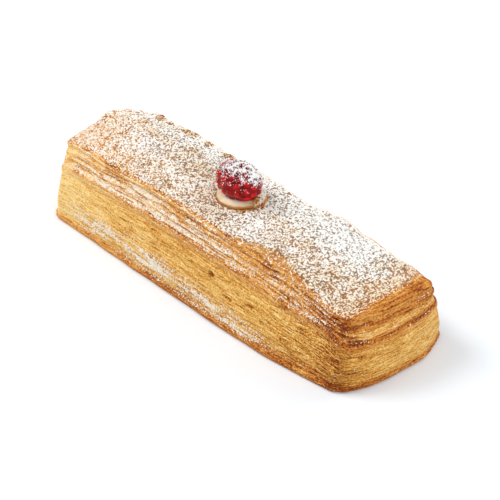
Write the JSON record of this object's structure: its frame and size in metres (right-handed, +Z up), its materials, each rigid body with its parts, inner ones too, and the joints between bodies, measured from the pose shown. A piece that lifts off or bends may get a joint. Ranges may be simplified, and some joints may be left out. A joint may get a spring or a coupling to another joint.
{
  "type": "fruit pastry bar",
  "caption": "Long block of baked puff pastry with a flaky ledge all round, dusted with sugar, and a raspberry set in a spot of icing on its flat top.",
  "frame": {"origin": "on the table, under the middle of the pastry", "axes": "+Z up; X along the bar, with +X to the end where the block sags lowest; -Y to the long side that the picture shows"},
  "size_m": [0.1708, 0.0596, 0.0479],
  "materials": {
    "crust": "dry baked dough, golden brown, dull, dusted with icing sugar",
    "icing": "set cream-coloured icing, satin",
    "berry": "moist crimson drupelets, dusted with icing sugar on top"
  },
  "bodies": {
    "root": {"pastry": "crust", "icing": "icing", "raspberry": "berry"}
  },
  "joints": []
}
